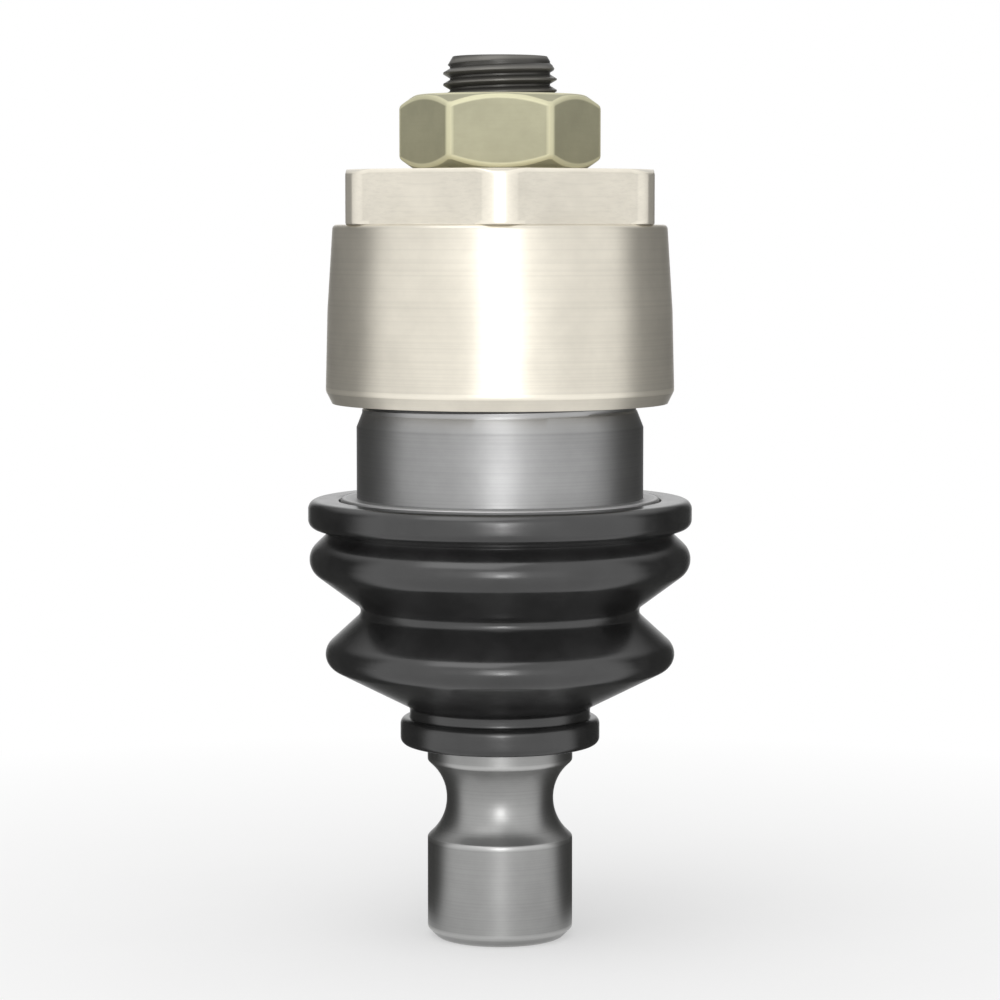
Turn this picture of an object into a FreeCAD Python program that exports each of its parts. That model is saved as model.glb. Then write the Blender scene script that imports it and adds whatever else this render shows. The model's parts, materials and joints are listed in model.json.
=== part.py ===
import FreeCAD, Part
import math
import os

# Suspension ball joint that clamps into a plate arm.
# A turned housing passes up through the arm's eye until its flange meets the plate, and a hexagon cap
# screws down over its thread and clamps the plate. The stud's ball sits on a spherical seat in the housing.
# A cup-shaped race lies over the ball, and an adjusting screw through the cap, locked by a jam nut, presses
# the race down. A rubber boot with two bellows seals the housing's flange to the stud's shank.
# Millimetres. The origin is the centre of the ball, and +Z runs up the joint's axis to the cap.

# Ball stud
BALL_DIAMETER = 26.5
BALL_FLAT_DEPTH = 1.25
NECK_DIAMETER = 14.8
NECK_LENGTH = 0.3
COLLAR_REACH = 1.15
COLLAR_RIM = 0.6
SHANK_DIAMETER = 18.5
PINCH_GROOVE_DROP = 22.9
PINCH_GROOVE_DEPTH = 2.45
PINCH_BOLT_DIAMETER = 12.0
PINCH_GROOVE_EDGE = 0.4
STUD_END_DROP = 17.8
STUD_END_CHAMFER = 1.2
CENTRE_DRILL_DIAMETER = 3.6

# How far the stud leans from the joint's axis in any direction, and the room it is given there
SWING_ANGLE = 28.0
SEAT_EDGE_MARGIN = 1.5
MOUTH_FLARE = 22.0
COLLAR_CLEARANCE = 0.4

# Housing, from its lower face up
MOUTH_DEPTH = 9.0
LIP_CHAMFER_WIDTH = 1.4
LIP_CHAMFER_HEIGHT = 1.0
LIP_FLAT = 0.6
LIP_REACH = 1.15
LIP_CONE_HEIGHT = 1.2
FLANGE_LEDGE = 2.075
FLANGE_HEIGHT = 5.0
FLANGE_CHAMFER = 0.3
ARM_SEAT_DIAMETER = 36.35
ARM_SEAT_HEIGHT = 9.0
THREAD_LEAD_HEIGHT = 1.8
CAP_THREAD_DIAMETER = 34.925
CAP_THREAD_LENGTH = 13.7
CAP_THREAD_CHAMFER = 1.3
BORE_CHAMFER = 1.0
BORE_FLOOR_DEPTH = 1.0

# Race
RACE_RISE = 5.0
RACE_CROWN = 6.7
RACE_LOWER_ROUND = 0.6
RACE_BEVEL_WIDTH = 0.9
RACE_BEVEL_HEIGHT = 1.5
RACE_GROOVE_WIDTH = 0.7
RACE_GROOVE_DEPTH = 0.4
RACE_GROOVE_SLOPE = 21.0

# Cap
ARM_PLATE_THICKNESS = 12.0
CAP_SKIRT_HEIGHT = 22.5
CAP_SKIRT_TOP_DIAMETER = 42.3
CAP_SKIRT_MIDDLE_DIAMETER = 43.6
CAP_SKIRT_BOTTOM_DIAMETER = 44.1
CAP_SKIRT_MIDDLE_HEIGHT = 11.7
CAP_SHOULDER_ROUND = 0.6
CAP_RIM_WIDTH = 0.8
CAP_RIM_HEIGHT = 1.6
CAP_HEX_FLATS = 38.1
CAP_HEX_LAND = 1.9
CAP_HEX_HEIGHT = 6.8
CAP_HEX_CHAMFER = 0.5
CAP_CROWN_THICKNESS = 13.1
CAP_RELIEF_HEIGHT = 2.2
CAP_RELIEF_DEPTH = 0.5
CAP_LEAD_IN = 1.0

# Adjusting screw and jam nut
ADJUSTER_DIAMETER = 14.29
ADJUSTER_LENGTH = 34.3
ADJUSTER_NOSE_DIAMETER = 8.8
ADJUSTER_NOSE_LENGTH = 4.6
ADJUSTER_CHAMFER_WIDTH = 1.2
ADJUSTER_CHAMFER_HEIGHT = 2.0
SOCKET_FLATS = 6.35
SOCKET_DEPTH = 7.0
TAPPED_HOLE_CHAMFER = 0.8
NUT_FLATS = 22.2
NUT_HEIGHT = 9.4
NUT_FACE_SHARE = 0.96
NUT_CHAMFER_ANGLE = 35.0

# Boot: a reach is past the flange or shank that the boot grips, and a drop is down from its top edge
BOOT_TOP_GAP = 0.2
BOOT_WALL = 1.6
BEAD_REACH = 4.1
BEAD_HEIGHT = 3.7
BEAD_ROUND = 1.2
NOTCH_REACH = 1.55
NOTCH_STEP = 0.5
UPPER_FOLD_ROOM = 1.2
UPPER_CREST_ROUND = 2.6
WAIST_DIAMETER = 35.5
WAIST_DROP = 14.2
WAIST_ROUND = 1.0
LOWER_CREST_DIAMETER = 44.4
LOWER_CREST_DROP = 19.7
LOWER_CREST_ROUND = 2.2
BOOT_NECK_ROOM = 0.65
BOOT_NECK_DROP = 27.0
BOOT_NECK_ROUND = 0.8
SEAL_REACH = 3.45
SEAL_HEIGHT = 3.5
SEAL_ROUND = 0.9

# Clearances between the pieces, on the radius or along the axis
BALL_CLEARANCE = 0.05
BORE_CLEARANCE = 0.1
RACE_CLEARANCE = 0.05
THREAD_CLEARANCE = 0.08
FACE_CLEARANCE = 0.02
BOOT_CLEARANCE = 0.1
SEAL_CLEARANCE = 0.06

# Radii that more than one piece is made to
ball_radius = BALL_DIAMETER / 2
seat_radius = ball_radius + BALL_CLEARANCE
bore_radius = seat_radius + BORE_CLEARANCE
neck_radius = NECK_DIAMETER / 2
shank_radius = SHANK_DIAMETER / 2
collar_radius = shank_radius + COLLAR_REACH
arm_seat_radius = ARM_SEAT_DIAMETER / 2
flange_radius = arm_seat_radius + FLANGE_LEDGE
lip_radius = flange_radius + LIP_REACH
thread_radius = CAP_THREAD_DIAMETER / 2
adjuster_radius = ADJUSTER_DIAMETER / 2
boot_bore_radius = flange_radius + BOOT_CLEARANCE
notch_radius = flange_radius + NOTCH_REACH
upper_crest_radius = lip_radius + UPPER_FOLD_ROOM + BOOT_WALL
boot_neck_radius = shank_radius + BOOT_NECK_ROOM + BOOT_WALL

# Heights of the stud's features: the collar's rim just clears the housing at full swing
swing = math.radians(SWING_ANGLE)
ball_top_z = ball_radius - BALL_FLAT_DEPTH
neck_top_z = -math.sqrt(ball_radius ** 2 - neck_radius ** 2)
neck_bottom_z = neck_top_z - NECK_LENGTH
collar_top_z = -(MOUTH_DEPTH + COLLAR_CLEARANCE + collar_radius * math.sin(swing)) / math.cos(swing)
collar_bottom_z = collar_top_z - COLLAR_RIM
pinch_groove_z = collar_bottom_z - PINCH_GROOVE_DROP
stud_end_z = pinch_groove_z - STUD_END_DROP

# Heights of the faces of the other pieces
mouth_z = -MOUTH_DEPTH
lip_bottom_z = mouth_z + LIP_CHAMFER_HEIGHT
lip_top_z = lip_bottom_z + LIP_FLAT
flange_bottom_z = lip_top_z + LIP_CONE_HEIGHT
flange_top_z = flange_bottom_z + FLANGE_HEIGHT
arm_seat_top_z = flange_top_z + ARM_SEAT_HEIGHT
thread_bottom_z = arm_seat_top_z + THREAD_LEAD_HEIGHT
housing_top_z = thread_bottom_z + CAP_THREAD_LENGTH
race_bottom_z = RACE_RISE
race_top_z = seat_radius + RACE_CROWN
cap_bottom_z = flange_top_z + ARM_PLATE_THICKNESS
cap_shoulder_z = cap_bottom_z + CAP_SKIRT_HEIGHT
cap_top_z = cap_shoulder_z + CAP_HEX_HEIGHT
cap_ceiling_z = cap_top_z - CAP_CROWN_THICKNESS
nut_bottom_z = cap_top_z + FACE_CLEARANCE
adjuster_bottom_z = race_top_z + FACE_CLEARANCE
adjuster_top_z = adjuster_bottom_z + ADJUSTER_LENGTH
boot_top_z = flange_top_z - BOOT_TOP_GAP
bead_bottom_z = boot_top_z - BEAD_HEIGHT
notch_z = bead_bottom_z - NOTCH_STEP
waist_z = boot_top_z - WAIST_DROP
lower_crest_z = boot_top_z - LOWER_CREST_DROP
boot_neck_z = boot_top_z - BOOT_NECK_DROP
seal_top_z = boot_neck_z - BOOT_NECK_ROUND
boot_bottom_z = seal_top_z - SEAL_HEIGHT

AXIS = FreeCAD.Vector(0, 0, 1)
ACROSS = FreeCAD.Vector(0, 1, 0)
ORIGIN = FreeCAD.Vector(0, 0, 0)

# How far a cutter runs past the face that it opens
CUTTER_OVERRUN = 1.0


def at(radius, height):
    """The point of a turned outline at that radius and height."""
    return FreeCAD.Vector(radius, 0, height)


def turned(outline):
    """Solid turned about the axis from a closed outline that starts at a (radius, height) point.

    Each later step is a point that a straight line runs to, or a pair of points: an arc through the first
    to the second.
    """
    edges = []
    here = at(*outline[0])
    for step in outline[1:] + outline[:1]:
        if isinstance(step[0], tuple):
            through = at(*step[0])
            end = at(*step[1])
            edges.append(Part.Arc(here, through, end).toShape())
        else:
            end = at(*step)
            edges.append(Part.LineSegment(here, end).toShape())
        here = end
    return Part.Face(Part.Wire(edges)).revolve(ORIGIN, AXIS, 360)


def belted(rounds):
    """Outline steps of a belt drawn past a row of (radius, height, rounding) rounds.

    A round with a positive rounding lies on the belt's left and one with a negative rounding on its right.
    A rounding of nothing is a sharp corner.
    """
    normals = []
    for (r0, z0, round0), (r1, z1, round1) in zip(rounds, rounds[1:]):
        along = math.atan2(z1 - z0, r1 - r0)
        lean = math.acos((round0 - round1) / math.hypot(r1 - r0, z1 - z0))
        normals.append(along - lean)
    steps = []
    for place, (r, z, rounding) in enumerate(rounds):
        if not rounding:
            steps.append((r, z))
            continue
        start = normals[place - 1]
        sweep = math.remainder(normals[place] - start, 2 * math.pi)
        points = []
        for share in (0, 0.5, 1):
            angle = start + sweep * share
            points.append((r + rounding * math.cos(angle), z + rounding * math.sin(angle)))
        steps.append(points[0])
        steps.append((points[1], points[2]))
    return steps


def on_sphere(radius, angle):
    """The point of a circle about the origin at that angle, in radians from straight up."""
    return radius * math.sin(angle), radius * math.cos(angle)


def hexagon(flats, bottom, height, corner_angle):
    """Upright hexagonal prism with one corner at that angle in degrees from +X."""
    corners = []
    for side in range(7):
        turn = math.radians(corner_angle + 60 * side)
        reach = flats / math.sqrt(3)
        corners.append(FreeCAD.Vector(reach * math.cos(turn), reach * math.sin(turn), bottom))
    return Part.Face(Part.makePolygon(corners)).extrude(AXIS * height)


def tapped_hole(bottom, top):
    """Cutter for a through hole for the adjusting screw, chamfered at both faces."""
    hole = adjuster_radius + THREAD_CLEARANCE
    wide = hole + TAPPED_HOLE_CHAMFER
    return turned([
        (0, bottom - CUTTER_OVERRUN),
        (wide, bottom - CUTTER_OVERRUN),
        (wide, bottom),
        (hole, bottom + TAPPED_HOLE_CHAMFER),
        (hole, top - TAPPED_HOLE_CHAMFER),
        (wide, top),
        (wide, top + CUTTER_OVERRUN),
        (0, top + CUTTER_OVERRUN),
    ])


def stud():
    """Ball, waisted neck, sharp collar and straight shank with a pinch bolt's groove, in one forging."""
    top_radius = math.sqrt(ball_radius ** 2 - ball_top_z ** 2)
    # The neck flares to the collar on a hollow arc that leaves the neck along the axis.
    flare_drop = neck_bottom_z - collar_top_z
    flare_reach = collar_radius - neck_radius
    flare_radius = (flare_drop ** 2 + flare_reach ** 2) / (2 * flare_reach)
    half_turn = math.asin(flare_drop / flare_radius) / 2
    flare_middle = (
        neck_radius + flare_radius * (1 - math.cos(half_turn)),
        neck_bottom_z - flare_radius * math.sin(half_turn),
    )
    # The pinch groove is the bolt's own arc, with a bevel at each edge.
    groove_waist = shank_radius - PINCH_GROOVE_DEPTH
    bolt_radius = PINCH_BOLT_DIAMETER / 2
    arc_edge = shank_radius - PINCH_GROOVE_EDGE
    arc_half = math.sqrt(bolt_radius ** 2 - (groove_waist + bolt_radius - arc_edge) ** 2)
    groove_half = arc_half + PINCH_GROOVE_EDGE
    drill_radius = CENTRE_DRILL_DIAMETER / 2
    drill_depth = drill_radius * math.sqrt(3)
    return turned([
        (0, ball_top_z),
        (top_radius, ball_top_z),
        ((ball_radius, 0), (neck_radius, neck_top_z)),
        (neck_radius, neck_bottom_z),
        (flare_middle, (collar_radius, collar_top_z)),
        (collar_radius, collar_bottom_z),
        (shank_radius, collar_bottom_z),
        (shank_radius, pinch_groove_z + groove_half),
        (arc_edge, pinch_groove_z + arc_half),
        ((groove_waist, pinch_groove_z), (arc_edge, pinch_groove_z - arc_half)),
        (shank_radius, pinch_groove_z - groove_half),
        (shank_radius, stud_end_z + STUD_END_CHAMFER),
        (shank_radius - STUD_END_CHAMFER, stud_end_z),
        (drill_radius, stud_end_z),
        (0, stud_end_z + drill_depth),
    ])


def housing():
    """Turned body: ball seat and flared mouth below, race bore above, flange and cap thread outside."""
    # The seat runs down to where the stud's neck comes near it at full swing.
    neck_angle = math.asin(neck_radius / ball_radius)
    seat_end_angle = math.pi - neck_angle - swing - math.radians(SEAT_EDGE_MARGIN)
    seat_end = on_sphere(seat_radius, seat_end_angle)
    seat_start_angle = math.acos(-BORE_FLOOR_DEPTH / seat_radius)
    seat_start = on_sphere(seat_radius, seat_start_angle)
    seat_middle = on_sphere(seat_radius, (seat_start_angle + seat_end_angle) / 2)
    mouth_angle = swing + math.radians(MOUTH_FLARE)
    mouth_radius = seat_end[0] + (seat_end[1] - mouth_z) * math.tan(mouth_angle)
    return turned([
        (bore_radius, housing_top_z - BORE_CHAMFER),
        (bore_radius, -BORE_FLOOR_DEPTH),
        seat_start,
        (seat_middle, seat_end),
        (mouth_radius, mouth_z),
        (lip_radius - LIP_CHAMFER_WIDTH, mouth_z),
        (lip_radius, lip_bottom_z),
        (lip_radius, lip_top_z),
        (flange_radius, flange_bottom_z),
        (flange_radius, flange_top_z - FLANGE_CHAMFER),
        (flange_radius - FLANGE_CHAMFER, flange_top_z),
        (arm_seat_radius, flange_top_z),
        (arm_seat_radius, arm_seat_top_z),
        (thread_radius, thread_bottom_z),
        (thread_radius, housing_top_z - CAP_THREAD_CHAMFER),
        (thread_radius - CAP_THREAD_CHAMFER, housing_top_z),
        (bore_radius + BORE_CHAMFER, housing_top_z),
    ])


def race_groove(outside):
    """Cutter for the shallow groove that runs round the race in a tilted plane and climbs towards +X."""
    reach = outside + CUTTER_OVERRUN
    slab = Part.makeCylinder(2 * reach, RACE_GROOVE_WIDTH, at(0, -RACE_GROOVE_WIDTH / 2), AXIS)
    slab.rotate(ORIGIN, ACROSS, -RACE_GROOVE_SLOPE)
    slab.translate(AXIS * (race_bottom_z + race_top_z) / 2)
    core_radius = outside - RACE_GROOVE_DEPTH
    core = Part.makeCylinder(core_radius, 4 * reach, at(0, race_bottom_z - 2 * reach), AXIS)
    return slab.cut(core)


def race():
    """Cup over the upper part of the ball, with a flat crown that the adjusting screw presses on."""
    outside = bore_radius - RACE_CLEARANCE
    # The pocket is round up to its pole, because the ball's shoulder passes there as the stud leans.
    mouth_angle = math.acos(race_bottom_z / seat_radius)
    pocket_mouth = on_sphere(seat_radius, mouth_angle)
    pocket_middle = on_sphere(seat_radius, mouth_angle / 2)
    round_middle = RACE_LOWER_ROUND * (1 - math.sqrt(0.5))
    cup = turned([
        (0, race_top_z),
        (0, seat_radius),
        (pocket_middle, pocket_mouth),
        (outside - RACE_LOWER_ROUND, race_bottom_z),
        (
            (outside - round_middle, race_bottom_z + round_middle),
            (outside, race_bottom_z + RACE_LOWER_ROUND),
        ),
        (outside, race_top_z - RACE_BEVEL_HEIGHT),
        (outside - RACE_BEVEL_WIDTH, race_top_z),
    ])
    return cup.cut(race_groove(outside))


def cap_hexagon():
    """The cap's hexagon, one corner to the front, its corners turned off and its top edge chamfered."""
    # Each corner is turned down until the land across it is as wide as given.
    land_half = CAP_HEX_LAND / 2
    corner_radius = math.hypot((CAP_HEX_FLATS - land_half) / math.sqrt(3), land_half)
    blank = turned([
        (0, cap_shoulder_z),
        (corner_radius, cap_shoulder_z),
        (corner_radius, cap_top_z - CAP_HEX_CHAMFER),
        (corner_radius - 2 * CAP_HEX_CHAMFER, cap_top_z),
        (0, cap_top_z),
    ])
    return blank.common(hexagon(CAP_HEX_FLATS, cap_shoulder_z, CAP_HEX_HEIGHT, 30))


def cap():
    """Cap that clamps the arm: tapering skirt threaded inside, thick crown and a hexagon to turn it by."""
    inside = thread_radius + THREAD_CLEARANCE
    relief = inside + CAP_RELIEF_DEPTH
    top = CAP_SKIRT_TOP_DIAMETER / 2
    middle = CAP_SKIRT_MIDDLE_DIAMETER / 2
    bottom = CAP_SKIRT_BOTTOM_DIAMETER / 2
    round_middle = CAP_SHOULDER_ROUND * (1 - math.sqrt(0.5))
    skirt = turned([
        (0, cap_ceiling_z),
        (relief, cap_ceiling_z),
        (relief, cap_ceiling_z - CAP_RELIEF_HEIGHT),
        (inside, cap_ceiling_z - CAP_RELIEF_HEIGHT - CAP_RELIEF_DEPTH),
        (inside, cap_bottom_z + CAP_LEAD_IN),
        (inside + CAP_LEAD_IN, cap_bottom_z),
        (bottom - CAP_RIM_WIDTH, cap_bottom_z),
        (bottom, cap_bottom_z + CAP_RIM_HEIGHT),
        (middle, cap_bottom_z + CAP_SKIRT_MIDDLE_HEIGHT),
        (top, cap_shoulder_z - CAP_SHOULDER_ROUND),
        (
            (top - round_middle, cap_shoulder_z - round_middle),
            (top - CAP_SHOULDER_ROUND, cap_shoulder_z),
        ),
        (0, cap_shoulder_z),
    ])
    whole = skirt.fuse(cap_hexagon()).removeSplitter()
    return whole.cut(tapped_hole(cap_ceiling_z, cap_top_z))


def adjuster_screw():
    """Threaded adjusting screw with a rounded nose, a chamfered end and a hexagon socket."""
    nose_radius = ADJUSTER_NOSE_DIAMETER / 2
    # The nose is an arc that leaves the screw's side along the axis.
    nose_reach = adjuster_radius - nose_radius
    nose_arc = (nose_reach ** 2 + ADJUSTER_NOSE_LENGTH ** 2) / (2 * nose_reach)
    half_turn = math.asin(ADJUSTER_NOSE_LENGTH / nose_arc) / 2
    nose_top_z = adjuster_bottom_z + ADJUSTER_NOSE_LENGTH
    nose_middle = (
        adjuster_radius - nose_arc * (1 - math.cos(half_turn)),
        nose_top_z - nose_arc * math.sin(half_turn),
    )
    screw = turned([
        (0, adjuster_bottom_z),
        (nose_radius, adjuster_bottom_z),
        (nose_middle, (adjuster_radius, nose_top_z)),
        (adjuster_radius, adjuster_top_z - ADJUSTER_CHAMFER_HEIGHT),
        (adjuster_radius - ADJUSTER_CHAMFER_WIDTH, adjuster_top_z),
        (0, adjuster_top_z),
    ])
    socket_height = SOCKET_DEPTH + CUTTER_OVERRUN
    return screw.cut(hexagon(SOCKET_FLATS, adjuster_top_z - SOCKET_DEPTH, socket_height, 0))


def jam_nut():
    """Hexagon nut with a flat to the front and its corners chamfered at both faces."""
    face_radius = NUT_FLATS / 2 * NUT_FACE_SHARE
    corner_radius = NUT_FLATS / math.sqrt(3)
    chamfer_height = (corner_radius - face_radius) * math.tan(math.radians(NUT_CHAMFER_ANGLE))
    top = nut_bottom_z + NUT_HEIGHT
    blank = turned([
        (0, nut_bottom_z),
        (face_radius, nut_bottom_z),
        (corner_radius, nut_bottom_z + chamfer_height),
        (corner_radius, top - chamfer_height),
        (face_radius, top),
        (0, top),
    ])
    nut = blank.common(hexagon(NUT_FLATS, nut_bottom_z, NUT_HEIGHT, 0))
    return nut.cut(tapped_hole(nut_bottom_z, top))


def boot_upper_lip():
    """The boot's beaded mouth, stretched over the housing's flange above the housing's lip."""
    bead_centre = flange_radius + BEAD_REACH - BEAD_ROUND
    return turned(belted([
        (boot_bore_radius, notch_z, 0),
        (notch_radius, notch_z, 0),
        (bead_centre, bead_bottom_z + BEAD_ROUND, BEAD_ROUND),
        (bead_centre, boot_top_z - BEAD_ROUND, BEAD_ROUND),
        (boot_bore_radius, boot_top_z, 0),
    ]))


def boot_bellows():
    """The boot's two folds, of one wall thickness, from the notch under the bead down to the seal.

    The upper fold's crest is level with the housing's lower face, so that it clears the housing's lip.
    """
    folds = [
        (boot_neck_radius + BOOT_NECK_ROUND, boot_neck_z, -BOOT_NECK_ROUND),
        (LOWER_CREST_DIAMETER / 2 - LOWER_CREST_ROUND, lower_crest_z, LOWER_CREST_ROUND),
        (WAIST_DIAMETER / 2 + WAIST_ROUND, waist_z, -WAIST_ROUND),
        (upper_crest_radius - UPPER_CREST_ROUND, mouth_z, UPPER_CREST_ROUND),
    ]
    outside = [(boot_neck_radius, seal_top_z, 0)] + folds + [(notch_radius, notch_z, 0)]
    inside = [(boot_bore_radius, notch_z, 0)]
    for r, z, rounding in reversed(folds):
        inside.append((r, z, BOOT_WALL - rounding))
    inside.append((boot_neck_radius - BOOT_WALL, seal_top_z, 0))
    return turned(belted(outside) + belted(inside))


def boot_lower_lip():
    """The boot's thick lower lip, which seals on the stud's shank."""
    bore = shank_radius + SEAL_CLEARANCE
    outer_centre = shank_radius + SEAL_REACH - SEAL_ROUND
    return turned(belted([
        (bore, boot_bottom_z, 0),
        (outer_centre, boot_bottom_z + SEAL_ROUND, SEAL_ROUND),
        (outer_centre, seal_top_z - SEAL_ROUND, SEAL_ROUND),
        (bore, seal_top_z, 0),
    ]))


PIECES = {
    "adjuster_screw": adjuster_screw,
    "jam_nut": jam_nut,
    "cap": cap,
    "race": race,
    "housing": housing,
    "stud": stud,
    "boot_upper_lip": boot_upper_lip,
    "boot_bellows": boot_bellows,
    "boot_lower_lip": boot_lower_lip,
}

os.makedirs("parts", exist_ok=True)
for name, make in PIECES.items():
    shape = make()
    shape.exportStep(f"parts/{name}.step")
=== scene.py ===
import json
import math

import bmesh
import bpy
import numpy as np
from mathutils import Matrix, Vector


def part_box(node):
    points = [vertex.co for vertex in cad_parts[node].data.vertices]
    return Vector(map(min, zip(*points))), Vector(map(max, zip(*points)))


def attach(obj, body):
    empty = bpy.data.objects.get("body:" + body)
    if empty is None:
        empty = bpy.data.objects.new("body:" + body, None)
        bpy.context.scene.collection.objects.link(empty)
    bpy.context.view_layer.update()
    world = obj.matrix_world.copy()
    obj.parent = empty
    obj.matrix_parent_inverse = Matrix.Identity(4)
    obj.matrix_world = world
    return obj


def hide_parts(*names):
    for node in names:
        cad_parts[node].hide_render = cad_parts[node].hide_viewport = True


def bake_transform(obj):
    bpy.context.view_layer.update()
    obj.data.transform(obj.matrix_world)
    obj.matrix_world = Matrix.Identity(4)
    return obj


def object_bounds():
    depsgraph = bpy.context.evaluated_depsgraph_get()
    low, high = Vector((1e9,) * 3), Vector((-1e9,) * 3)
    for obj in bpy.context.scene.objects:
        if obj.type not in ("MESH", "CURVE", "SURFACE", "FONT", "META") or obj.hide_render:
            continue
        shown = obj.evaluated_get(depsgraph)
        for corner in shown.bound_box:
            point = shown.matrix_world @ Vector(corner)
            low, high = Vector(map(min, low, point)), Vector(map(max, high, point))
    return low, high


bl_info = {
    "name": "Suspension Ball Joint",
    "version": (1, 0, 0),
    "blender": (4, 5, 0),
    "location": "3D View > Sidebar > Ball Joint",
    "description": "Dresses a ball joint's frame in turned, threaded, plated and moulded pieces",
    "category": "Object",
}

# Metres. +Z runs up the joint's axis to the cap, and -Y is the front.
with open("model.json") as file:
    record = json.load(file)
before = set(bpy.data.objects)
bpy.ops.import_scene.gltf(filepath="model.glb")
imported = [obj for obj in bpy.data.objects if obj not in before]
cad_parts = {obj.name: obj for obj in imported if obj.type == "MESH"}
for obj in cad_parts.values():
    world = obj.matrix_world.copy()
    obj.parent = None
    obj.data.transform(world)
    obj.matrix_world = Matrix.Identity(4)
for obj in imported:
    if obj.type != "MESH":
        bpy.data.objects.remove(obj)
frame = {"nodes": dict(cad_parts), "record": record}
cad_box = [list(corner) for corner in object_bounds()]

FULL_TURN = 2 * math.pi
SIXTH = FULL_TURN / 6
FRONT = -FULL_TURN / 4

INCH = 0.0254
TURNS_PER_INCH = 18

# Points closer than this are one point of a mesh, and heights closer than this are level.
WELD = 2e-7
LEVEL = 1e-6

# Width of the camera's sensor in millimetres
SENSOR_WIDTH = 36.0


# Properties

def slot_colour(slot):
    """The record's base colour of that material slot."""
    for material in frame["record"]["materials"]:
        if material["slot"] == slot:
            return material["base_color"]
    raise RuntimeError(f"the record has no material slot named {slot}")


def colour_property(name, description, slot):
    """A colour that starts as the record's colour of that slot."""
    return bpy.props.FloatVectorProperty(
        name=name, description=description, default=slot_colour(slot), subtype="COLOR", min=0.0, max=1.0)


def length_property(name, description, default):
    """A length in metres."""
    return bpy.props.FloatProperty(
        name=name, description=description, default=default, min=0.0, precision=6, unit="LENGTH")


def share_property(name, description, default):
    """A share from 0 to 1."""
    return bpy.props.FloatProperty(
        name=name, description=description, default=default, min=0.0, max=1.0, subtype="FACTOR")


def brightness_property(name, light, default):
    """How many times as bright as white paper a light is."""
    description = f"Brightness of {light}, as a multiple of white paper's"
    return bpy.props.FloatProperty(name=name, description=description, default=default, min=0.0)


def angle_property(name, description, degrees):
    """An angle, given here in degrees and held in radians."""
    default = math.radians(degrees)
    return bpy.props.FloatProperty(
        name=name, description=description, default=default, unit="ROTATION", subtype="ANGLE")


class BallJointThread(bpy.types.PropertyGroup):
    """The right-hand thread form that the housing, the cap and the adjusting screw share."""

    pitch: length_property("Pitch", "Height that one turn of the thread climbs", INCH / TURNS_PER_INCH)
    depth: length_property("Depth", "From the thread's crest to its root", 0.00084)
    crest: share_property("Crest", "Share of the pitch that is flat on the crest", 0.14)
    root: share_property("Root", "Share of the pitch that is flat in the root", 0.16)
    run_out: length_property("Run-out", "Height over which the housing's thread dies away", 0.0011)


class BallJointSurface(bpy.types.PropertyGroup):
    """How the surfaces are divided, and how far their edges are broken."""

    columns: bpy.props.IntProperty(
        name="Columns", description="Divisions round a turned piece", default=160, min=24, max=512)
    edge: length_property("Broken edge", "Reach of the round on a metal edge", 0.00016)
    edge_guard: length_property("Edge guard", "Reach of the band that keeps a broken edge crisp", 0.0005)
    nut_land: share_property("Nut corner", "Share of the sharp corner's radius that is left", 0.988)
    rubber_edge: length_property("Rubber edge", "Reach of the round on a moulded edge", 0.0005)
    rubber_step: length_property("Rubber step", "Longest stretch of boot wall between two rings", 0.0006)


class BallJointFinish(bpy.types.PropertyGroup):
    """Colours of the finishes."""

    black_oxide: colour_property("Adjusting screw", "Black oxide on the screw", "black_oxide")
    yellow_zinc: colour_property("Jam nut", "Pale yellow zinc on the nut", "yellow_zinc")
    bright_plate: colour_property("Cap", "Bright plate on the cap", "bright_plate")
    ground_steel: colour_property("Race", "Ground steel of the race", "ground_steel")
    turned_steel: colour_property("Housing", "Turned steel of the housing", "turned_steel")
    forged_steel: colour_property("Ball stud", "Turned and polished steel of the stud", "forged_steel")
    rubber: colour_property("Boot", "Black rubber of the boot", "rubber")


class BallJointStage(bpy.types.PropertyGroup):
    """Camera and light."""

    elevation: angle_property("Camera height", "Angle of the camera above the horizon", 4.7)
    lens: bpy.props.FloatProperty(
        name="Lens", description=f"Focal length on a sensor {SENSOR_WIDTH:g} mm wide", default=120.0,
        min=20.0, unit="CAMERA")
    fill: share_property("Fill", "Share of the picture's height that the joint takes", 0.88)
    ambient: share_property("Ambient", "Brightness of the light from all round, where 1 is white", 0.7)
    card: share_property("Cards", "Brightness of the grey cards that the metal's sides mirror", 0.07)
    overhead: brightness_property("Overhead box", "the large soft light over the joint", 0.9)
    front: brightness_property("Front box", "the soft light round the camera", 1.6)
    strip: brightness_property("Front strip", "the narrow light in front", 5.5)
    halo: brightness_property("Front halo", "the wide weak light round the front box", 0.14)


def settings():
    """The joint's property groups: thread, surface, finish and stage."""
    return [getattr(bpy.context.scene, name) for name in GROUPS]


# Outlines, as (radius, height) points

# The cutting plane stands this far past the angle asked for, because a turned node's own points lie at it.
SECTION_TURN = math.radians(0.01)

# Ends of a section's links that agree in this many decimal places are one point.
PLACES = 8

# Outline points closer than this are one, and a path that turns by less than this is straight.
SAME_POINT = 8e-6
STRAIGHT = math.radians(0.4)


def turn_at(before, here, after):
    """The angle by which a path turns at a point: 0 straight on, and more than 0 to the left."""
    first = math.atan2(here[1] - before[1], here[0] - before[0])
    second = math.atan2(after[1] - here[1], after[0] - here[0])
    return math.remainder(second - first, FULL_TURN)


def crossing(low, high, turn):
    """Where an edge crosses the plane at that turn, as (distance from the axis, height), or None."""
    cosine = math.cos(turn)
    sine = math.sin(turn)
    low_side = low[1] * cosine - low[0] * sine
    high_side = high[1] * cosine - high[0] * sine
    if low_side * high_side >= 0:
        return None
    spot = Vector(low).lerp(Vector(high), low_side / (low_side - high_side))
    return spot[0] * cosine + spot[1] * sine, spot[2]


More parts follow.
